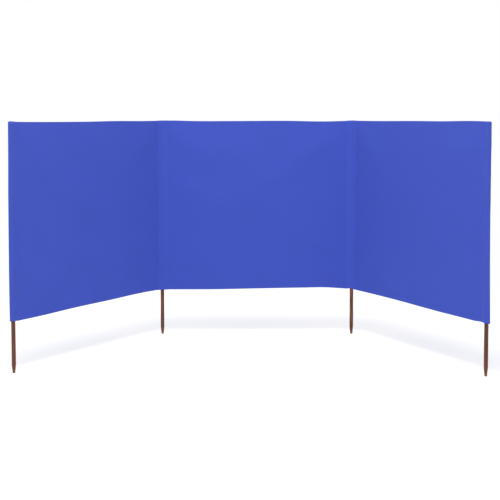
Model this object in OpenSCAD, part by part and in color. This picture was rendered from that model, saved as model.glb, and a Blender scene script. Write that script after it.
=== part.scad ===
// Beach windbreak: three bays of cloth carried by four wooden poles.
// The origin is the middle of the foot of pole 2, the left inner pole. +Z is up,
// and +X runs along the middle bay to pole 3. The end bays swing forward, to -Y.

/* [Poles] */
// Length of a pole, from its blunt foot to its top
pole_len = 1500; // [1300:10:1800]
// Diameter of a pole
pole_d = 25; // [20:1:27]
// Diameter of the foot at the bottom of its taper
foot_d = 16; // [12:1:18]
// Height of the foot's taper
taper_h = 52; // [30:1:90]
// Radius that eases the edge of the foot
foot_edge_r = 3; // [1:0.5:5]
// Radius that eases the edge of the pole's top
top_edge_r = 2; // [1:0.5:5]

/* [Cloth] */
// Distance between neighbouring poles
bay_w = 1333; // [1000:1:1600]
// Height of the cloth, from its bottom hem to the tops of the poles
cloth_h = 1185; // [800:5:1200]
// Thickness of a panel
panel_t = 1.5; // [1:0.1:2]
// Height of a hem
hem_h = 20; // [10:1:40]
// Thickness of a hem, where the cloth is turned over twice
hem_t = 2.4; // [2:0.1:2.8]

/* [Sleeves] */
// Inside diameter of a sleeve, which is loose on its pole
sleeve_id = 28; // [28:0.5:32]
// Thickness of a sleeve's cloth
sleeve_t = 1; // [0.8:0.1:1.5]
// Thickness of the sewn cap over the top of a pole
cap_t = 3; // [2:0.5:5]

/* [Swing of the end bays] */
// Angle that the left bay stands forward of the middle bay's line
left_swing = 53.5; // [-80:0.1:166]
// Angle that the right bay stands forward of the middle bay's line
right_swing = 59.3; // [-166:0.1:80]

/* [Hidden] */
$fn = 96;
pole_r = pole_d / 2;
foot_r = foot_d / 2;
sleeve_ir = sleeve_id / 2;
sleeve_r = sleeve_ir + sleeve_t;
cloth_bottom = pole_len - cloth_h;
// An end bay's cloth stops this far short of the sleeve it swings about
hinge_gap = 0.3;
arc_steps = 6;
wood_colour = [0.42, 0.28, 0.22];
cloth_colour = [0.27, 0.34, 0.75];
hem_colour = [0.24, 0.31, 0.70];

// Points on a quarter circle about [cx, cy], from the angle a0 in degrees
function quarter(cx, cy, r, a0) = [
    for (i = [0:arc_steps])
        let (a = a0 + 90 * i / arc_steps)
        [cx + r * cos(a), cy + r * sin(a)]
];

// Moves its children from the origin to the foot of a numbered pole
module at_pole(number) {
    if (number == 1)
        rotate([0, 0, 180 + left_swing])
            translate([bay_w, 0, 0])
                children();
    if (number == 2)
        children();
    if (number == 3)
        translate([bay_w, 0, 0])
            children();
    if (number == 4)
        translate([bay_w, 0, 0])
            rotate([0, 0, -right_swing])
                translate([bay_w, 0, 0])
                    children();
}

// Turns a bay that is drawn along +X, from its inner pole, to where it stands
module in_bay(side) {
    if (side == "left")
        rotate([0, 0, 180 + left_swing])
            children();
    if (side == "middle")
        children();
    if (side == "right")
        translate([bay_w, 0, 0])
            rotate([0, 0, -right_swing])
                children();
}

// A turned dowel with a blunt tapered foot
module pole(number) {
    outline = concat(
        [[0, 0]],
        quarter(foot_r - foot_edge_r, foot_edge_r, foot_edge_r, -90),
        [[pole_r, taper_h]],
        quarter(pole_r - top_edge_r, pole_len - top_edge_r, top_edge_r, 0),
        [[0, pole_len]]
    );
    color(wood_colour)
        at_pole(number)
            rotate_extrude()
                polygon(outline);
}

// The cloth tunnel that a pole is pushed up into
module sleeve(number) {
    color(cloth_colour)
        at_pole(number)
            translate([0, 0, cloth_bottom])
                linear_extrude(height = cloth_h)
                    difference() {
                        circle(r = sleeve_r);
                        circle(r = sleeve_ir);
                    }
}

// The sewn end of a tunnel, which rests on the top of its pole
module sleeve_cap(number) {
    color(hem_colour)
        at_pole(number)
            translate([0, 0, pole_len])
                cylinder(h = cap_t, r = sleeve_r);
}

// A level band of one bay's cloth, between the sleeves at its two ends
module cloth_band(side, from_z, to_z, thickness) {
    inner_gap = side == "middle" ? 0 : hinge_gap;
    in_bay(side)
        translate([0, 0, from_z])
            linear_extrude(height = to_z - from_z)
                difference() {
                    translate([0, -thickness / 2])
                        square([bay_w, thickness]);
                    circle(r = sleeve_r + inner_gap);
                    translate([bay_w, 0])
                        circle(r = sleeve_r);
                }
}

module panel(side) {
    color(cloth_colour)
        cloth_band(side, cloth_bottom + hem_h, pole_len - hem_h, panel_t);
}

module top_hem(side) {
    color(hem_colour)
        cloth_band(side, pole_len - hem_h, pole_len, hem_t);
}

module bottom_hem(side) {
    color(hem_colour)
        cloth_band(side, cloth_bottom, cloth_bottom + hem_h, hem_t);
}

pole(1);  // pole_1
pole(2);  // pole_2
pole(3);  // pole_3
pole(4);  // pole_4
sleeve(1);  // sleeve_1
sleeve(2);  // sleeve_2
sleeve(3);  // sleeve_3
sleeve(4);  // sleeve_4
sleeve_cap(1);  // sleeve_cap_1
sleeve_cap(2);  // sleeve_cap_2
sleeve_cap(3);  // sleeve_cap_3
sleeve_cap(4);  // sleeve_cap_4
panel("left");  // panel_left
panel("middle");  // panel_middle
panel("right");  // panel_right
top_hem("left");  // top_hem_left
top_hem("middle");  // top_hem_middle
top_hem("right");  // top_hem_right
bottom_hem("left");  // bottom_hem_left
bottom_hem("middle");  // bottom_hem_middle
bottom_hem("right");  // bottom_hem_right
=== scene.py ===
import math

import bpy
import numpy as np
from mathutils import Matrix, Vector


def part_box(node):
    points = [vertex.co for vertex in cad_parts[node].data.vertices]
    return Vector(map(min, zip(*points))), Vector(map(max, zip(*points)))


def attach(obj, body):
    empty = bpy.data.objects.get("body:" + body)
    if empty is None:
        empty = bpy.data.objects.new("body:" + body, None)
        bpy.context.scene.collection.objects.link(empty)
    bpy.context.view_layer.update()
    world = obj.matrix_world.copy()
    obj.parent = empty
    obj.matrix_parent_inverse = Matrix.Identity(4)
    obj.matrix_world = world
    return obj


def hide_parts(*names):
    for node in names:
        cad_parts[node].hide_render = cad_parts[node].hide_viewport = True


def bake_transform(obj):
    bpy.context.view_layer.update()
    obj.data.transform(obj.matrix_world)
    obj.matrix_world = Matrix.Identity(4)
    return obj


# A beach windbreak: three bays of cloth on four wooden poles. The poles are the frame's own. The
# panels, hems, sleeves and stitches are made here, as are the materials, floor, light and camera.

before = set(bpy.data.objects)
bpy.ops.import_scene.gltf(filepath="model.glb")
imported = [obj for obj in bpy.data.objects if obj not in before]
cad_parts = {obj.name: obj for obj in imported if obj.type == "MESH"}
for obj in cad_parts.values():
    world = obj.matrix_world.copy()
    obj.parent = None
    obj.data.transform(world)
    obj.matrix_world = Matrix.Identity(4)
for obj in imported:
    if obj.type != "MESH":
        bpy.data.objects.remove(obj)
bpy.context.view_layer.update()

MM = 0.001


# ---------------------------------------------------------------- places, all from the frame


def plan_centre(node):
    """The middle of a node in plan."""
    low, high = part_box(node)
    return np.array([(low[0] + high[0]) / 2, (low[1] + high[1]) / 2])


def extent(node, axis):
    """A node's size along an axis, from 0 for X to 2 for Z."""
    low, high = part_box(node)
    return high[axis] - low[axis]


POLES = {number: plan_centre(f"pole_{number}") for number in (1, 2, 3, 4)}
POLE_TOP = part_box("pole_2")[1][2]
POLE_R = extent("pole_2", 0) / 2
CLOTH_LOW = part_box("sleeve_2")[0][2]
HEM_H = extent("top_hem_middle", 2)


# ---------------------------------------------------------------- sizes of the cloth and thread


# One layer of cloth, the slack that keeps two layers from meeting, and a whole hem, which is the
# panel with a turned layer on its back and the fold round its edge
CLOTH_T = 0.45 * MM
GAP = 0.05 * MM
HEM_T = 1.4 * MM
# From a pole's axis: where its sleeve is sewn to a bay, where the panel's edge is tucked in,
# where the stitches run, and where the sleeve's seam allowance ends
SEAM = 40 * MM
TUCK = 42 * MM
STITCH_AT = 43 * MM
FLAP = 46 * MM
# From the middle of a bay's cloth to a sleeve's outer face, on plain cloth and on a hem's back
ON_CLOTH = CLOTH_T / 2 + GAP + CLOTH_T
ON_HEM = HEM_T - CLOTH_T / 2 + CLOTH_T
# Outer radius of a sleeve where it lies round its pole
SLEEVE_R = POLE_R + 1.25 * MM
# How far a sleeve reaches past the hems' edges at its seams
OVERHANG = 0.6 * MM
# The closed end of a sleeve: a dome over the pole's top, a sewn fin along the dome, and how far
# the fin stands above the pole
DOME = 11 * MM
FIN = 2.2 * MM
CROWN = 4.5 * MM
# The turned-up end at a sleeve's mouth: its height, how far it stands out, and half of the height
# in which it steps out
MOUTH_H = 14 * MM
MOUTH_OUT = 0.4 * MM
MOUTH_STEP = 0.4 * MM
# From one stitch to the next, the length of a stitch, and the radius of its thread
STITCH_PITCH = 4.5 * MM
STITCH_L = 3.4 * MM
THREAD_R = 0.32 * MM
# From a hem's inner edge to its stitches
HEM_STITCH_AT = 2.6 * MM


# ---------------------------------------------------------------- small maths


def ease(x):
    """0 below 0, 1 above 1, and smooth between them."""
    x = np.clip(x, 0, 1)
    return x * x * (3 - 2 * x)


def even(start, end, step):
    """Evenly spaced values, about a step apart."""
    return np.linspace(start, end, max(2, round((end - start) / step) + 1))


def profile(points):
    """A smooth curve through (place in metres, height in millimetres) points."""
    places, heights = np.array(points, float).T
    slopes = np.gradient(heights, places)

    def height(x):
        x = np.clip(x, places[0], places[-1])
        i = np.clip(np.searchsorted(places, x, side="right") - 1, 0, len(places) - 2)
        step = places[i + 1] - places[i]
        t = (x - places[i]) / step
        bend = t * (1 - t) * step * (slopes[i] * (1 - t) - slopes[i + 1] * t)
        return (heights[i] + (heights[i + 1] - heights[i]) * ease(t) + bend) * MM

    return height


def waves(seed, count, shortest, longest):
    """A seeded sum of sine waves over a plane, of about unit height."""
    rng = np.random.default_rng(seed)
    lengths = rng.uniform(shortest, longest, count)
    headings = rng.uniform(0, math.pi, count)
    phases = rng.uniform(0, 2 * math.pi, count)

    def height(s, z):
        total = 0
        for length, heading, phase in zip(lengths, headings, phases):
            run = s * math.cos(heading) + z * math.sin(heading)
            total = total + np.sin(2 * math.pi * run / length + phase)
        return total / math.sqrt(count)

    return height


def fold(s, z, start, end, width):
    """A soft fold of unit height along a line, dying away over a share of it at each end."""
    fade = 0.3
    start, end = np.array(start), np.array(end)
    run = end - start
    length = math.hypot(*run)
    along = ((s - start[0]) * run[0] + (z - start[1]) * run[1]) / length**2
    off = ((s - start[0]) * run[1] - (z - start[1]) * run[0]) / length
    return ease(along / fade) * ease((1 - along) / fade) * np.exp(-((off / width) ** 2))


def unit(heading):
    """The unit vector in plan at an anticlockwise angle from +X."""
    return np.array([math.cos(heading), math.sin(heading)])


# ---------------------------------------------------------------- meshes


class Mesh:
    """Collects closed surfaces, with places on the cloth in metres as UVs, into one object."""

    def __init__(self):
        self.points = []
        self.places = []
        self.faces = []
        self.count = 0

    def add(self, points, places, *faces):
        """Adds points in any array shape, and arrays of faces that number them from 0."""
        self.points.append(np.asarray(points, float).reshape(-1, 3))
        self.places.append(np.asarray(places, float).reshape(-1, 2))
        for group in faces:
            self.faces += (np.asarray(group) + self.count).tolist()
        self.count += len(self.points[-1])

    def shell(self, outer, places):
        """A closed sheet one layer thick. outer is its outer face, as rows going up of points
        going right."""
        rows, columns = outer.shape[:2]
        normal = np.cross(np.gradient(outer, axis=1), np.gradient(outer, axis=0))
        normal /= np.linalg.norm(normal, axis=2, keepdims=True)
        f = np.arange(rows * columns).reshape(rows, columns)
        b = f + rows * columns
        quads = [
            (f[:-1, :-1], f[:-1, 1:], f[1:, 1:], f[1:, :-1]),
            (b[:-1, :-1], b[1:, :-1], b[1:, 1:], b[:-1, 1:]),
            (f[0, :-1], b[0, :-1], b[0, 1:], f[0, 1:]),
            (f[-1, :-1], f[-1, 1:], b[-1, 1:], b[-1, :-1]),
            (f[:-1, 0], f[1:, 0], b[1:, 0], b[:-1, 0]),
            (f[:-1, -1], b[:-1, -1], b[1:, -1], f[1:, -1]),
        ]
        both_faces = np.stack([outer, outer - normal * CLOTH_T])
        both_places = np.stack([places, places])
        self.add(both_faces, both_places, *(np.stack(q, -1).reshape(-1, 4) for q in quads))

    def bars(self, rings, places):
        """Closed bars: any number of them, each a row of rings of points."""
        bars, count, sides = rings.shape[:3]
        n = np.arange(bars * count * sides).reshape(bars, count, sides)
        beside = np.roll(n, -1, axis=2)
        walls = np.stack([n[:, :-1], beside[:, :-1], beside[:, 1:], n[:, 1:]], -1)
        self.add(rings, places, walls.reshape(-1, 4), n[:, 0, ::-1], n[:, -1])

    def build(self, name, material, sharp=50):
        """Makes the object, smooth but for edges sharper than an angle in degrees."""
        mesh = bpy.data.meshes.new(name)
        mesh.from_pydata(np.concatenate(self.points).tolist(), [], self.faces)
        layer = mesh.uv_layers.new(name="cloth_metres")
        corners = np.zeros(len(mesh.loops), int)
        mesh.loops.foreach_get("vertex_index", corners)
        places = np.concatenate(self.places)[corners]
        layer.uv.foreach_set("vector", places.astype(np.float32).ravel())
        mesh.polygons.foreach_set("use_smooth", np.ones(len(mesh.polygons), bool))
        mesh.set_sharp_from_angle(angle=math.radians(sharp))
        mesh.materials.append(material)
        piece = bpy.data.objects.new(name, mesh)
        bpy.context.scene.collection.objects.link(piece)
        return piece


# ---------------------------------------------------------------- nodes


class Nodes:
    """A node tree, with short ways to add the nodes used here."""

    def __init__(self, tree):
        self.tree = tree

    def feed(self, socket, value):
        """Sets a socket to a value, or links it to another socket."""
        if isinstance(value, bpy.types.NodeSocket):
            self.tree.links.new(value, socket)
        else:
            socket.default_value = value

    def node(self, kind, inputs, **settings):
        """Adds a node with settings, and feeds its inputs from values or other sockets."""
        made = self.tree.nodes.new(kind)
        for key, value in settings.items():
            setattr(made, key, value)
        for key, value in inputs.items():
            self.feed(made.inputs[key], value)
        return made

    def math(self, operation, *values):
        made = self.node("ShaderNodeMath", dict(enumerate(values)), operation=operation)
        return made.outputs[0]

    def noise(self, vector, scale=1.0, detail=2.0):
        inputs = {"Vector": vector, "Scale": scale, "Detail": detail}
        return self.node("ShaderNodeTexNoise", inputs).outputs["Fac"]

    def stretched(self, vector, scale):
        inputs = {"Vector": vector, "Scale": scale}
        return self.node("ShaderNodeMapping", inputs).outputs["Vector"]

    def separate(self, vector):
        """The X, Y and Z of a vector."""
        return self.node("ShaderNodeSeparateXYZ", {"Vector": vector}).outputs

    def ramp(self, value, *stops):
        """Turns a value into a colour by (place, colour) stops."""
        made = self.node("ShaderNodeValToRGB", {"Fac": value})
        elements = made.color_ramp.elements
        while len(elements) < len(stops):
            elements.new(0.5)
        for element, (place, colour) in zip(elements, stops):
            element.position = place
            element.color = rgba(colour)
        return made.outputs["Color"]

    def mix(self, share, first, second, blend="MIX"):
        made = self.node("ShaderNodeMix", {}, data_type="RGBA", blend_type=blend)
        for key, value in ((0, share), (6, first), (7, second)):
            self.feed(made.inputs[key], value)
        return made.outputs[2]

    def shaded(self, colour, value, *stops):
        """A colour times a grey, which follows a value by (place, grey) stops."""
        greys = self.ramp(value, *((place, (grey, grey, grey)) for place, grey in stops))
        return self.mix(1.0, colour, greys, "MULTIPLY")

    def bump(self, height, strength, distance, below=None):
        """A normal with a bump on it, over the bumps of the normal below."""
        inputs = {"Height": height, "Strength": strength, "Distance": distance}
        if below is not None:
            inputs["Normal"] = below
        return self.node("ShaderNodeBump", inputs).outputs["Normal"]


class Look(Nodes):
    """A material and its shader."""

    def __init__(self, name):
        self.material = bpy.data.materials.new(name)
        self.material.use_nodes = True
        super().__init__(self.material.node_tree)
        self.shader = self.tree.nodes["Principled BSDF"]

    def cloth_place(self):
        """The place on the cloth in metres, as Mesh stores it."""
        return self.node("ShaderNodeUVMap", {}, uv_map="cloth_metres").outputs["UV"]

    def object_place(self):
        return self.node("ShaderNodeTexCoord", {}).outputs["Object"]

    def surface(self, **inputs):
        """Feeds the shader's inputs, named with _ for a space."""
        for key, value in inputs.items():
            self.feed(self.shader.inputs[key.replace("_", " ")], value)
        return self.material


def linear(red, green, blue):
    """A colour as seen on a screen, from 0 to 255, as the linear colour that shaders take."""
    shares = [c / 255 for c in (red, green, blue)]
    return tuple(c / 12.92 if c <= 0.04045 else ((c + 0.055) / 1.055) ** 2.4 for c in shares)


def rgba(colour):
    return (*colour, 1)


def times(colour, factor):
    return [c * factor for c in colour]


# ---------------------------------------------------------------- materials


def threads(look, across, along, side):
    """Height of one set of a plain weave's threads, which pass over and under the other set."""
    lane = look.math("FLOOR", across)
    from_middle = look.math("SUBTRACT", look.math("FRACT", across), 0.5)
    roundness = look.math("COSINE", look.math("MULTIPLY", from_middle, math.pi))
    wave = look.math("SINE", look.math("MULTIPLY", look.math("ADD", along, lane), math.pi))
    return look.math("MULTIPLY_ADD", wave, 0.5 * side, roundness)


def woven_cloth(name, colour):
    """Plain-woven polyester: a fine weave with uneven threads, matt with a little sheen."""
    pitch = 0.6 * MM
    streaks_per_metre = 25
    look = Look(name)
    place = look.cloth_place()
    parts = look.separate(place)
    u = look.math("DIVIDE", parts["X"], pitch)
    v = look.math("DIVIDE", parts["Y"], pitch)
    weave = look.math("MAXIMUM", threads(look, u, v, 1), threads(look, v, u, -1))
    upright = look.noise(look.stretched(place, (1 / pitch, streaks_per_metre, 1)))
    level = look.noise(look.stretched(place, (streaks_per_metre, 1 / pitch, 1)))
    uneven = look.math("ADD", upright, level)

    # Threads differ a little and broad patches less. The hollows between threads are darker, which is
    # painted shade in the weave's hollows
    share = look.math("MULTIPLY", uneven, 0.5)
    base = look.mix(share, rgba(times(colour, 0.93)), rgba(times(colour, 1.07)))
    broad = look.noise(place, scale=4.0, detail=3.0)
    base = look.shaded(base, broad, (0.3, 0.985), (0.7, 1.015))
    # Painted shade: the base colour goes darker where the weave is low
    base = look.shaded(base, weave, (0.2, 0.86), (0.95, 1.02))
    rough = look.math("MULTIPLY_ADD", uneven, 0.1, 0.7)
    crumple = look.noise(place, scale=70.0, detail=3.0)
    normal = look.bump(crumple, strength=0.5, distance=0.5 * MM)
    normal = look.bump(uneven, strength=0.3, distance=0.15 * MM, below=normal)
    normal = look.bump(weave, strength=0.7, distance=0.18 * MM, below=normal)
    look.surface(Base_Color=base, Roughness=rough, Normal=normal)
    look.surface(Sheen_Weight=0.08, Sheen_Roughness=0.5, Sheen_Tint=rgba((0.75, 0.8, 1)))
    return look.surface(Specular_IOR_Level=0.25)


def sewing_thread(colour):
    """Twisted polyester thread."""
    twist_pitch = 0.6 * MM
    look = Look("sewing_thread")
    parts = look.separate(look.cloth_place())
    turn = look.math("ADD", parts["X"], parts["Y"])
    twist = look.math("SINE", look.math("MULTIPLY", turn, 2 * math.pi / twist_pitch))
    # Darker in the twist's grooves and lighter on its ridges, following the bump: painted shade and
    # painted highlight
    shade = look.ramp(twist, (0.0, times(colour, 0.85)), (1.0, times(colour, 1.1)))
    normal = look.bump(twist, strength=0.4, distance=0.05 * MM)
    look.surface(Base_Color=shade, Normal=normal)
    return look.surface(Roughness=0.5, Sheen_Weight=0.1)


def wood_figure(look, place):
    """Long, slightly wandering bands, from 0 in early wood to 1 in late wood."""
    wander = look.noise(look.stretched(place, (9, 9, 1.1)), detail=3.0)
    wander = look.node("ShaderNodeCombineXYZ", {"X": wander, "Y": wander}).outputs[0]
    bent = look.stretched(look.mix(0.035, place, wander), (1, 1, 0.06))
    bands = {"Vector": bent, "Scale": 42.0, "Distortion": 3.2, "Detail": 3.0, "Detail Scale": 1.6}
    made = look.node("ShaderNodeTexWave", bands, wave_type="BANDS", bands_direction="DIAGONAL")
    return made.outputs["Fac"]


def worn_foot(look, place):
    """How worn the stain is: scuffed at the foot, and not at all above it."""
    worn_height = 0.03
    height = look.separate(place)["Z"]
    foot = look.math("SUBTRACT", 1.0, look.math("DIVIDE", height, worn_height))
    scuffs = look.noise(look.stretched(place, (160, 160, 60)), detail=5.0)
    scuffs = look.math("MULTIPLY", scuffs, 1.1)
    worn = look.math("MULTIPLY", look.math("MAXIMUM", foot, 0.0), scuffs)
    return look.node("ShaderNodeClamp", {"Value": worn}).outputs[0]


def stained_wood():
    """A turned pine pole, stained brown: long grain, darker late wood, and a worn, paler foot."""
    early, between, late = linear(124, 74, 48), linear(106, 61, 39), linear(82, 44, 27)
    bare = linear(160, 118, 88)
    look = Look("stained_pine")
    place = look.object_place()
    figure = wood_figure(look, place)
    fibres = look.noise(look.stretched(place, (900, 900, 14)), detail=4.0)
    patches = look.noise(look.stretched(place, (14, 14, 5)), detail=3.0)
    stain = look.ramp(figure, (0.1, early), (0.6, between), (0.95, late))
    stain = look.shaded(stain, fibres, (0.3, 0.78), (0.7, 1.18))
    stain = look.shaded(stain, patches, (0.3, 0.88), (0.75, 1.14))
    base = look.mix(worn_foot(look, place), stain, rgba(bare))
    rough = look.math("MULTIPLY_ADD", fibres, 0.25, 0.45)
    normal = look.bump(fibres, strength=0.35, distance=0.25 * MM)
    normal = look.bump(figure, strength=0.15, distance=0.3 * MM, below=normal)
    look.surface(Base_Color=base, Roughness=rough, Normal=normal)
    return look.surface(Specular_IOR_Level=0.35)


CLOTH_COLOUR = linear(64, 85, 191)
cloth = woven_cloth("blue_polyester", CLOTH_COLOUR)
# The hems' cloth is the same blue made 4% darker: painted shade along the doubled hems
hem_cloth_painted_shade = woven_cloth("blue_polyester_hem_painted_shade", times(CLOTH_COLOUR, 0.96))
thread = sewing_thread(linear(84, 104, 204))
wood = stained_wood()


# ---------------------------------------------------------------- the bays


class Bay:
    """One bay. s runs from its left pole to its right one, w forward of its plane, and z up.

    top and bottom are points on the cloth's edges: metres along the bay, and millimetres above
    the poles' tops or the cloth's bottom. Each fold runs between two (s, z) points in metres, and
    has a half width in metres and a height in millimetres."""

    # The relief starts beside the sleeves' flaps: the broad waves over the first distance, and
    # the fine waves, folds and puckers over the second
    free_over, near_over = 0.18, 0.02
    broad_h, fine_h = 1.8 * MM, 0.2 * MM
    # Puckers: their heights at a seam and a hem, how far they reach from them, and how much
    # they are drawn out square to them
    seam_pucker_h, hem_pucker_h = 0.7 * MM, 0.4 * MM
    seam_reach, hem_reach = 0.02, 0.012
    draw_out = 0.2

    def __init__(self, side, left, right, seed, top, bottom, folds):
        self.side = side
        self.body = f"{side}_bay"
        self.left = left
        self.right = right
        self.origin = POLES[left]
        run = POLES[right] - POLES[left]
        self.width = math.hypot(*run)
        self.along = run / self.width
        self.heading = math.atan2(run[1], run[0])
        self.forward = np.array([self.along[1], -self.along[0]])
        self.top_line = profile(top)
        self.bottom_line = profile(bottom)
        self.folds = folds
        self.broad = waves(seed, 7, 0.3, 0.9)
        self.fine = waves(seed + 1, 9, 0.05, 0.14)
        self.pucker = waves(seed + 2, 5, 0.025, 0.05)
        self.columns = self.mesh_columns()

    def mesh_columns(self):
        """Places along the bay of its meshes' columns, which are closer beside the sleeves."""
        beside = 0.09
        close, wide = 5 * MM, 7.5 * MM
        return np.concatenate([
            even(TUCK, beside, close)[:-1],
            even(beside, self.width - beside, wide),
            even(self.width - beside, self.width - TUCK, close)[1:],
        ])

    def at(self, s, w, z):
        """Points in the row frame."""
        s, w, z = np.broadcast_arrays(s, w, z)
        x = self.origin[0] + s * self.along[0] + w * self.forward[0]
        y = self.origin[1] + s * self.along[1] + w * self.forward[1]
        return np.stack([x, y, z], -1)

    def top(self, s):
        return POLE_TOP + self.top_line(s)

    def bottom(self, s):
        return CLOTH_LOW + self.bottom_line(s)

    def relief(self, s, z):
        """How far the cloth's middle stands forward of the bay's plane: broad waves and folds,
        and puckers along the seams and hems. It's flat where the sleeves are sewn on."""
        beside = np.minimum(s, self.width - s) - FLAP
        free = ease(beside / self.free_over)
        near = ease(beside / self.near_over)
        w = self.broad(s, z) * self.broad_h * free + self.fine(s, z) * self.fine_h * near
        for start, end, width, height in self.folds:
            w = w + fold(s, z, start, end, width) * height * MM * near
        seam = np.exp(-np.maximum(beside, 0) / self.seam_reach) * near
        w = w + self.pucker(s * self.draw_out, z) * self.seam_pucker_h * seam
        inside_hem = np.minimum(self.top(s) - z, z - self.bottom(s)) - HEM_H
        hem = np.exp(-((inside_hem / self.hem_reach) ** 2)) * near
        return w + self.pucker(s, z * self.draw_out) * self.hem_pucker_h * hem


left_bay = Bay(
    "left", 1, 2, 11,
    top=[(0, 1.5), (0.25, -0.5), (0.67, 0), (0.86, 2.5), (1.15, 1.5), (1.33, 3)],
    bottom=[(0, -5), (0.2, -5), (0.42, 0), (0.85, 4), (1.15, 7), (1.27, 4), (1.33, 1)],
    folds=[
        ((0.0, 1.52), (0.42, 0.98), 0.06, 2.0),
        ((1.34, 1.50), (0.80, 1.05), 0.07, 2.3),
        ((0.03, 0.30), (0.5, 0.62), 0.07, 1.6),
        ((1.32, 0.30), (0.95, 0.80), 0.06, 1.4),
        ((0.055, 0.75), (0.055, 1.62), 0.014, 1.8),
        ((0.62, 0.55), (0.80, 1.25), 0.12, -2.0),
    ],
)
middle_bay = Bay(
    "middle", 2, 3, 23,
    top=[(0, 3.5), (0.1, 4), (0.2, 1), (0.5, 0.5), (0.87, 2), (1.15, -2), (1.33, 3)],
    bottom=[(0, 0.5), (0.37, 1.5), (0.65, 7), (1.0, 13), (1.15, 15), (1.29, 7), (1.33, 5)],
    folds=[
        ((1.36, 1.52), (0.45, 0.86), 0.08, 3.2),
        ((-0.02, 1.52), (0.55, 1.05), 0.09, 2.0),
        ((1.34, 0.28), (0.90, 0.62), 0.07, 2.3),
        ((0.0, 0.30), (0.35, 0.75), 0.07, 1.6),
        ((0.35, 0.70), (0.95, 0.55), 0.14, -2.0),
    ],
)
right_bay = Bay(
    "right", 3, 4, 37,
    top=[(0, 3.5), (0.2, 2), (0.7, 4), (0.9, 3.5), (1.28, 5), (1.33, 3)],
    bottom=[(0, 5), (0.59, 5), (0.8, 0), (1.15, -1), (1.24, -1), (1.3, 3), (1.33, 3)],
    folds=[
        ((-0.02, 1.52), (0.50, 1.00), 0.07, 2.1),
        ((1.35, 1.52), (0.85, 1.10), 0.07, 2.0),
        ((0.0, 0.30), (0.45, 0.70), 0.07, 1.6),
        ((1.34, 0.29), (0.95, 0.66), 0.07, 1.6),
        ((0.60, 1.30), (0.66, 0.55), 0.16, -2.3),
    ],
)
BAYS = [left_bay, middle_bay, right_bay]


def make_panel(bay):
    """One layer of cloth between two sleeves, out to the folds of its hems."""
    row_share = 0.0078
    inset = HEM_T * 0.65
    s = bay.columns
    top, bottom = bay.top(s) - inset, bay.bottom(s) + inset
    z = bottom + (top - bottom) * even(0, 1, row_share)[:, None]
    s = np.broadcast_to(s, z.shape)
    mesh = Mesh()
    mesh.shell(bay.at(s, bay.relief(s, z) + CLOTH_T / 2, z), np.stack([s, z], -1))
    panel = mesh.build(f"panel_cloth_{bay.side}", cloth)
    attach(panel, bay.body)
    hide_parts(f"panel_{bay.side}")
    return panel


def arc(centre, radius, start, end, count):
    """Points on an arc, by angles in degrees."""
    turns = np.radians(np.linspace(start, end, count))
    return [(centre[0] + radius * math.cos(a), centre[1] + radius * math.sin(a)) for a in turns]


def hem_section():
    """A hem's outline as (forward, inward from the edge): a short leg flush with the front, a fold
    over the edge, and a long turned-in leg down the back."""
    front = CLOTH_T / 2 + 0.06 * MM
    back = front - HEM_T
    against = -CLOTH_T / 2 - GAP / 2
    radius = HEM_T / 2
    toe = 0.5 * MM
    front_leg = (front - 0.2 * MM, 2.6 * MM)
    over = arc((front - radius, radius), radius, 0, -180, 9)
    leg = [(back, inward * HEM_H) for inward in (0.2, 0.4, 0.6, 0.8)]
    turned = arc((back + toe, HEM_H - toe), toe, 180, 60, 5)
    inner = [(against, inward * HEM_H) for inward in (0.9, 0.6, 0.3, 0.1)]
    return np.array([*over, *leg, *turned, *inner, front_leg])


def make_hem(bay, edge):
    """A hem along a bay's top or bottom edge, turned to the back of the cloth. Its ends are tucked
    in between the sleeves' layers."""
    section = hem_section()
    end = SEAM + 1.5 * MM
    s = np.concatenate([[end], bay.columns, [bay.width - end]])[:, None]
    if edge == "top":
        z = bay.top(s) - section[None, :, 1]
    else:
        z = bay.bottom(s) + section[None, :, 1]
    s = np.broadcast_to(s, z.shape)
    rings = bay.at(s, bay.relief(s, z) + section[None, :, 0], z)
    outline = np.concatenate([[0], np.cumsum(np.hypot(*np.diff(section, axis=0).T))])
    places = np.stack([s, np.broadcast_to(outline, z.shape)], -1)
    order = slice(None) if edge == "bottom" else slice(None, None, -1)
    mesh = Mesh()
    mesh.bars(rings[None, :, order], places[None, :, order])
    hem = mesh.build(f"{edge}_hem_cloth_{bay.side}", hem_cloth_painted_shade, sharp=75)
    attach(hem, bay.body)
    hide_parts(f"{edge}_hem_{bay.side}")
    return hem


# ---------------------------------------------------------------- the sleeves


def stand_off(from_edge, at_back):
    """From the middle of a bay's cloth to a sleeve's outer face, which passes over the hems at the
    back. from_edge is the distance from the cloth's top or bottom edge."""
    past, step_down = 1 * MM, 5 * MM
    over_hem = 1 - ease((from_edge - HEM_H - past) / step_down)
    return ON_CLOTH + (ON_HEM - ON_CLOTH) * over_hem * at_back


class Side:
    """A bay that a sleeve is sewn to, at that bay's left or right end."""

    def __init__(self, bay, at_left_end):
        self.bay = bay
        self.at_left_end = at_left_end
        self.heading = bay.heading if at_left_end else bay.heading + math.pi

    def s(self, reach):
        """The place along the bay at a distance from the pole's axis."""
        return reach if self.at_left_end else self.bay.width - reach


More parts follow.
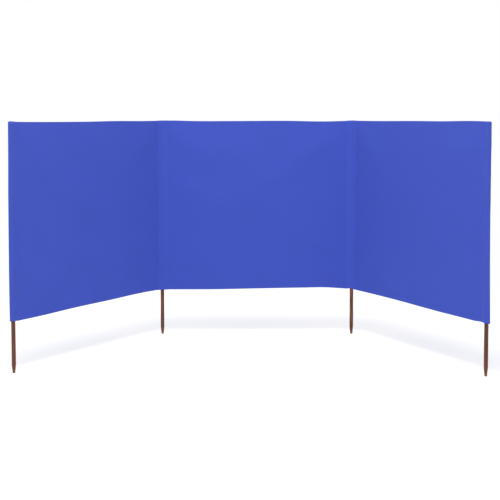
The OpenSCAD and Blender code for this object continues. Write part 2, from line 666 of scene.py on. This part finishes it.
class Sleeve:
    """The tunnel round a pole. left and right are the bays sewn to it, or None past an end pole.
    mouth is its bottom edge in millimetres from the cloth's bottom, and loose is how far from the
    pole's axis the outer fold of an end sleeve lies, at heights in metres."""

    def __init__(self, number, left, right, seed, mouth, loose=None):
        self.number = number
        self.left = left
        self.right = right
        self.centre = POLES[number]
        self.mouth = mouth * MM
        self.loose = profile(loose) if loose else None
        self.slack = waves(seed, 8, 0.04, 0.16)
        self.wrinkle = waves(seed + 1, 6, 0.02, 0.05)

    def sides(self):
        """The one or two bays sewn to it, the left one first."""
        found = []
        if self.left:
            found.append(Side(self.left, at_left_end=False))
        if self.right:
            found.append(Side(self.right, at_left_end=True))
        return found

    def layers(self):
        """Its layers of cloth: one that goes right round an end pole, or a front and a back one."""
        whole = 2 * math.pi
        sides = self.sides()
        if len(sides) == 1:
            side = sides[0]
            return [Layer(self, side, side, side.heading, side.heading + whole)]
        left, right = sides
        turn = (right.heading - left.heading) % whole
        return [
            Layer(self, left, right, left.heading, left.heading + turn),
            Layer(self, right, left, right.heading, right.heading + whole - turn),
        ]


def sleeve_rows(bottom, top):
    """Heights of a layer's rows, from its mouth to its fin, and how far each is still open."""
    row_share = 0.0082
    step = 0.6 * MM
    mouth = np.array([0, 0.5 * MM, 3 * MM, 8 * MM, MOUTH_H - step, MOUTH_H + step])
    start = bottom + MOUTH_H + 4 * MM
    rim = top - FIN - DOME
    low = bottom + mouth[:, None]
    straight = start + (rim - start) * even(0, 1, row_share)[:, None]
    angles = np.linspace(0, math.pi / 2, 9)[1:, None]
    closing = rim + DOME * np.sqrt(np.sin(angles))
    fin = top + np.array([-FIN / 2, 0])[:, None]
    open_share = np.concatenate([
        np.ones(len(low) + len(straight)),
        np.sqrt(np.clip(np.cos(angles[:, 0]), 0, 1)),
        [0, 0],
    ])
    return np.concatenate([low, straight, closing, fin]), open_share


class Layer:
    """One layer of a sleeve's cloth, which runs anticlockwise in plan between two headings. Its
    columns are a flap on the first bay, turns round the pole, and a flap on the last bay."""

    flap = np.linspace(FLAP, SEAM, 5)
    # The slack and wrinkles of cloth round a pole: their heights, and how much the slack is drawn
    # out upward and the wrinkles round the pole
    slack_h, slack_draw = 0.3 * MM, 0.35
    wrinkle_h, wrinkle_draw = 0.1 * MM, 0.4

    def __init__(self, sleeve, first, last, start, end):
        clear = math.radians(3)
        self.sleeve = sleeve
        self.first = first
        self.last = last
        self.start = start
        self.end = end
        self.turns = even(start + clear, end - clear, math.radians(4))
        self.from_seam = np.minimum(self.turns - start, end - self.turns)
        columns = 2 * len(self.flap) + len(self.turns)
        self.on_first = np.arange(columns) < columns / 2
        self.reach = self.column_reach()

    def taut(self):
        """How far from the pole's axis the cloth lies at each turn, in sleeve radii: 1 on the pole,
        and more where it runs straight to a seam."""
        touch = math.acos(SLEEVE_R / SEAM)
        return 1 / np.cos(np.maximum(touch - self.from_seam, 0))

    def column_reach(self):
        """How far along its bay each column lies. It's negative on the far side of an end pole."""
        last_turn = math.pi if self.sleeve.loose else math.pi / 2
        share = self.from_seam / ((self.end - self.start) / 2)
        round_pole = SLEEVE_R * self.taut() * np.cos(last_turn * share)
        return np.concatenate([self.flap, round_pole, self.flap[::-1]])

    def hem_edges(self):
        """Heights of the bays' top and bottom edges at each column."""
        beside = np.maximum(self.reach, 0)
        first_s, last_s = self.first.s(beside), self.last.s(beside)
        first, last = self.first.bay, self.last.bay
        top = np.where(self.on_first, first.top(first_s), last.top(last_s))
        bottom = np.where(self.on_first, first.bottom(first_s), last.bottom(last_s))
        return top, bottom

    def own_edges(self, hem_top, hem_bottom):
        """Heights of the layer's top and bottom at each column: past the hems at the seams, and
        the crown and the mouth at the pole."""
        level_to = 4 * MM
        near_pole = 1 - ease((self.reach - level_to) / (FLAP - level_to))
        top, bottom = hem_top + OVERHANG, hem_bottom - OVERHANG
        top = top + (POLE_TOP + CROWN - top) * near_pole
        bottom = bottom + (CLOTH_LOW + self.sleeve.mouth - bottom) * near_pole
        if self.sleeve.loose:
            slope = 0.22
            top = top - np.maximum(-self.reach - SLEEVE_R * 0.5, 0) * slope
        return top, bottom

    def radius(self, z):
        """How far from the pole's axis the cloth lies at each height and turn."""
        sleeve = self.sleeve
        around = self.turns * SLEEVE_R
        slack = sleeve.slack(around, z * self.slack_draw) * self.slack_h
        wrinkle = sleeve.wrinkle(around * self.wrinkle_draw, z) * self.wrinkle_h
        round_pole = SLEEVE_R + slack + wrinkle
        out = self.taut() + 0 * z
        if sleeve.loose:
            fold_reach = np.maximum(sleeve.loose(z), round_pole * 1.01)
            from_fold = np.abs(self.turns - (self.start + self.end) / 2)
            touch = np.arccos(round_pole / fold_reach)
            out = np.maximum(out, 1 / np.cos(np.maximum(touch - from_fold, 0)))
        return round_pole * out

    def flap_line(self, side, heading, turn, from_edge):
        """A flap's line in plan, from its end inward. turn says which face of the bay it's on: 1
        anticlockwise of its heading, or -1."""
        sideways = unit(heading + turn * math.pi / 2)
        at_back = np.dot(sideways, side.bay.forward) < 0
        off = stand_off(from_edge, at_back)
        return self.flap[:, None] * unit(heading) + off[..., None] * sideways

    def plan(self, z, hem_top, hem_bottom):
        """The layer's line in plan at every row, from the pole's axis."""
        n = len(self.flap)
        line = np.zeros((*z.shape, 2))
        headings = np.stack([np.cos(self.turns), np.sin(self.turns)], -1)
        line[:, n:-n] = self.radius(z[:, n:-n])[..., None] * headings
        from_edge = np.minimum(hem_top.max() - z[:, :1], z[:, :1] - hem_bottom.min())
        line[:, :n] = self.flap_line(self.first, self.start, 1, from_edge)
        line[:, -n:] = self.flap_line(self.last, self.end, -1, from_edge)[:, ::-1]
        # Rounds the corners where the flaps meet the turns
        for _ in range(3):
            before, after = line[:, n - 2:-n], line[:, n:2 - n]
            line[:, n - 1:1 - n] = line[:, n - 1:1 - n] * 0.5 + (before + after) * 0.25
        return line

    def spine(self, line):
        """Where each point closes to at the top: straight in to its bay's plane."""
        if self.sleeve.loose:
            along = unit(self.start)
            return (line @ along)[..., None] * along
        along = np.where(self.on_first[:, None], unit(self.start), unit(self.end))
        return along * self.reach[:, None]

    def closed(self, line, spine, outward, open_share):
        """The line closed on its spine at the dome and fin, but for the flaps, which stay."""
        clear, fade = 1 * MM, 3 * MM
        sewn = ease((SEAM + clear - np.abs(self.reach)) / fade)
        if self.sleeve.loose:
            sewn = np.where(self.reach < 0, 1, sewn)
        share = (1 - (1 - open_share[:, None]) * sewn)[..., None]
        room = outward * (CLOTH_T + 0.04 * MM)
        return spine + (line - spine) * share + (1 - share) * room

    def surface(self):
        """The outer face, as rows going up, its places, and its width from end to end."""
        hem_top, hem_bottom = self.hem_edges()
        top, bottom = self.own_edges(hem_top, hem_bottom)
        z, open_share = sleeve_rows(bottom, top)
        line = self.plan(z, hem_top, hem_bottom)
        spine = self.spine(line)
        run = np.gradient(line, axis=1)
        outward = np.stack([run[..., 1], -run[..., 0]], -1)
        outward /= np.linalg.norm(outward, axis=2, keepdims=True)
        turned_up = 1 - ease((z - bottom - MOUTH_H + MOUTH_STEP) / (2 * MOUTH_STEP))
        line = line + outward * (turned_up * MOUTH_OUT)[..., None]
        line = self.closed(line, spine, outward, open_share)
        step = np.hypot(*np.diff(line[len(z) // 2], axis=0).T)
        around = np.concatenate([[0], np.cumsum(step)])
        points = np.concatenate([self.sleeve.centre + line, z[..., None]], -1)
        places = np.stack([np.broadcast_to(around, z.shape), z], -1)
        return points, places, around[-1]


def make_sleeve(sleeve):
    """A sleeve's layers as one piece, which rides on an end bay, or stays where it is made between
    two bays.
    """
    mesh = Mesh()
    for layer in sleeve.layers():
        points, places, width = layer.surface()
        mesh.shell(points, places)
    number = sleeve.number
    piece = mesh.build(f"sleeve_cloth_{number}", cloth, sharp=60)
    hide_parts(f"sleeve_{number}", f"sleeve_cap_{number}")
    if sleeve.left and sleeve.right:
        middle_z = (CLOTH_LOW + POLE_TOP) / 2
        seams = [
            (*(sleeve.centre + unit(side.heading) * SEAM), middle_z) for side in sleeve.sides()
        ]
        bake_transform(piece)
    else:
        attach(piece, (sleeve.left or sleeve.right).body)
    return piece


SLEEVES = [
    Sleeve(
        1, None, left_bay, 51, 0,
        loose=[(0.3, 28), (0.5, 29), (0.88, 27), (1.1, 25), (1.27, 21), (1.5, 18)],
    ),
    Sleeve(2, left_bay, middle_bay, 53, 0),
    Sleeve(3, middle_bay, right_bay, 57, 10),
    Sleeve(
        4, right_bay, None, 59, 3,
        loose=[(0.3, 35), (0.53, 27), (1.04, 19), (1.4, 17), (1.5, 19)],
    ),
]


# ---------------------------------------------------------------- the stitching


# The rings of a stitch: place along it, share of its radius, and lift off the cloth in radii
STITCH_RINGS = ((-0.5, 0.45, -0.6), (0, 1, 0.35), (0.5, 0.45, -0.6))
STITCH_SIDES = 5


def stitch_bars(centres, along, outward):
    """Rings of points of stitches, whose ends dip into the cloth, and their places."""
    turns = np.arange(STITCH_SIDES) * 2 * math.pi / STITCH_SIDES
    across = np.cross(along, outward)
    rings = []
    for place, size, lift in STITCH_RINGS:
        middle = centres + along * STITCH_L * place + outward * THREAD_R * lift
        ring = [
            middle + (across * math.cos(a) + outward * math.sin(a)) * THREAD_R * size for a in turns
        ]
        rings.append(np.stack(ring, 1))
    rings = np.stack(rings, 1)
    places = np.zeros((*rings.shape[:3], 2))
    places[..., 0] = turns * THREAD_R
    places[..., 1] = np.linspace(0, STITCH_L, len(STITCH_RINGS))[None, :, None]
    return rings, places


def stitch_seams(mesh, bay):
    """The stitches of a bay's seams with the sleeves, on both faces."""
    margin = 3 * MM
    up = np.array([0.0, 0.0, 1.0])
    forward = np.array([*bay.forward, 0.0])
    for s in (STITCH_AT, bay.width - STITCH_AT):
        top, bottom = bay.top(s), bay.bottom(s)
        z = even(bottom + margin, top - margin, STITCH_PITCH)
        from_edge = np.minimum(top - z, z - bottom)
        direction = np.broadcast_to(up, (len(z), 3))
        for face in (1, -1):
            centres = bay.at(s, face * stand_off(from_edge, face < 0), z)
            outward = np.broadcast_to(forward * face, (len(z), 3))
            mesh.bars(*stitch_bars(centres, direction, outward))


def stitch_hems(mesh, bay):
    """The stitches of a bay's two hems, on both faces."""
    forward = np.array([*bay.forward, 0.0])
    inset = HEM_H - HEM_STITCH_AT
    end = FLAP + 2 * MM
    s = even(end, bay.width - end, STITCH_PITCH)
    for line in (lambda s: bay.top(s) - inset, lambda s: bay.bottom(s) + inset):
        # As the panel's mesh has it, so that no stitch sinks between two of its columns
        relief = np.interp(s, bay.columns, bay.relief(bay.columns, line(bay.columns)))
        for w, face in ((CLOTH_T / 2, 1), (CLOTH_T / 2 - HEM_T, -1)):
            centres = bay.at(s, relief + w, line(s))
            direction = np.gradient(centres, axis=0)
            direction /= np.linalg.norm(direction, axis=1, keepdims=True)
            outward = np.broadcast_to(forward * face, centres.shape)
            mesh.bars(*stitch_bars(centres, direction, outward))


def make_stitches(bay):
    """All of a bay's stitches as one piece."""
    mesh = Mesh()
    stitch_seams(mesh, bay)
    stitch_hems(mesh, bay)
    stitches = mesh.build(f"stitches_{bay.side}", thread, sharp=80)
    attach(stitches, bay.body)
    return stitches


# ---------------------------------------------------------------- making it


for pole_number in POLES:
    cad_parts[f"pole_{pole_number}"].material_slots[0].material = wood

for sleeve in SLEEVES:
    make_sleeve(sleeve)

for bay in BAYS:
    panel = make_panel(bay)
    trims = [make_hem(bay, "top"), make_hem(bay, "bottom"), make_stitches(bay)]


# ---------------------------------------------------------------- floor, light and camera


WHITE = (1, 1, 1, 1)
MIDDLE = np.mean(list(POLES.values()), axis=0)


def white_floor():
    """A pale floor. The camera sees it lifted to white near the object, with the soft shadow still
    on it, and fading to plain white further off."""
    lit_until, white_from = 1.2, 3.4
    lift_strength = 0.38
    look = Look("white_floor")
    look.tree.nodes.remove(look.shader)
    from_middle = look.node("ShaderNodeVectorMath", {0: look.object_place()}, operation="LENGTH")
    fade = {
        "Value": from_middle.outputs["Value"], "From Min": lit_until, "From Max": white_from,
        "To Min": 1.0, "To Max": 0.0,
    }
    near = look.node("ShaderNodeMapRange", fade).outputs[0]
    camera_ray = look.node("ShaderNodeLightPath", {}).outputs["Is Camera Ray"]
    plain = look.node("ShaderNodeBsdfDiffuse", {"Color": (0.8, 0.8, 0.8, 1)}).outputs[0]
    lift = look.node("ShaderNodeEmission", {"Color": WHITE, "Strength": lift_strength}).outputs[0]
    white = look.node("ShaderNodeEmission", {"Color": WHITE, "Strength": 1.0}).outputs[0]
    lifted = look.node("ShaderNodeAddShader", {0: plain, 1: lift}).outputs[0]
    seen = look.node("ShaderNodeMixShader", {0: near, 1: white, 2: lifted}).outputs[0]
    both = look.node("ShaderNodeMixShader", {0: camera_ray, 1: plain, 2: seen}).outputs[0]
    look.feed(look.tree.nodes["Material Output"].inputs["Surface"], both)
    return look.material


def make_floor():
    """A level square on the ground, under the middle of the poles."""
    half = 14
    corners = [(-half, -half, 0), (half, -half, 0), (half, half, 0), (-half, half, 0)]
    mesh = bpy.data.meshes.new("floor")
    mesh.from_pydata(corners, [], [(0, 1, 2, 3)])
    mesh.materials.append(white_floor())
    floor = bpy.data.objects.new("floor", mesh)
    floor.location = (*MIDDLE, 0)
    bpy.context.scene.collection.objects.link(floor)


def make_world():
    """Even white light from all round, which the camera sees as plain white."""
    light, seen_white = 0.75, 1.0
    world = bpy.data.worlds.new("studio")
    bpy.context.scene.world = world
    world.use_nodes = True
    nodes = Nodes(world.node_tree)
    rays = nodes.node("ShaderNodeLightPath", {}).outputs
    seen = nodes.math("MAXIMUM", rays["Is Camera Ray"], rays["Is Glossy Ray"])
    seen = nodes.math("MAXIMUM", seen, rays["Is Transmission Ray"])
    level = {"Value": seen, "To Min": light, "To Max": seen_white}
    background = nodes.tree.nodes["Background"]
    nodes.feed(background.inputs["Color"], WHITE)
    nodes.feed(background.inputs["Strength"], nodes.node("ShaderNodeMapRange", level).outputs[0])


def make_lamp(name, azimuth, elevation, power):
    """A large soft lamp that points at the middle of the cloth. Azimuth 0 is in front, to -Y."""
    distance = 6.5
    lamp = bpy.data.lights.new(name, "AREA")
    lamp.shape = "DISK"
    lamp.size = 2.5
    lamp.energy = power
    around, up = math.radians(azimuth), math.radians(elevation)
    middle = np.array([*MIDDLE, (CLOTH_LOW + POLE_TOP) / 2])
    away = np.array([math.sin(around) * math.cos(up), -math.cos(around) * math.cos(up), math.sin(up)])
    holder = bpy.data.objects.new(name, lamp)
    holder.location = middle + away * distance
    holder.rotation_euler = (math.pi / 2 - up, 0, around)
    bpy.context.scene.collection.objects.link(holder)


def make_camera():
    """A camera on the side that the end bays swing to, level with the tops of the poles and tipped
    down a little."""
    tip = 3.5
    data = bpy.data.cameras.new("camera")
    data.sensor_width = 36
    data.lens = 71.25
    data.shift_x = -0.0047
    data.shift_y = -0.1478
    camera = bpy.data.objects.new("camera", data)
    camera.location = (0.6341, -6.9135, 1.5383)
    camera.rotation_euler = (math.radians(90 - tip), 0, 0)
    bpy.context.scene.collection.objects.link(camera)
    bpy.context.scene.camera = camera


make_floor()
make_world()
make_lamp("overhead", azimuth=-8, elevation=70, power=250)
make_lamp("front", azimuth=-20, elevation=25, power=12)
make_camera()
bpy.context.scene.view_settings.view_transform = "Standard"
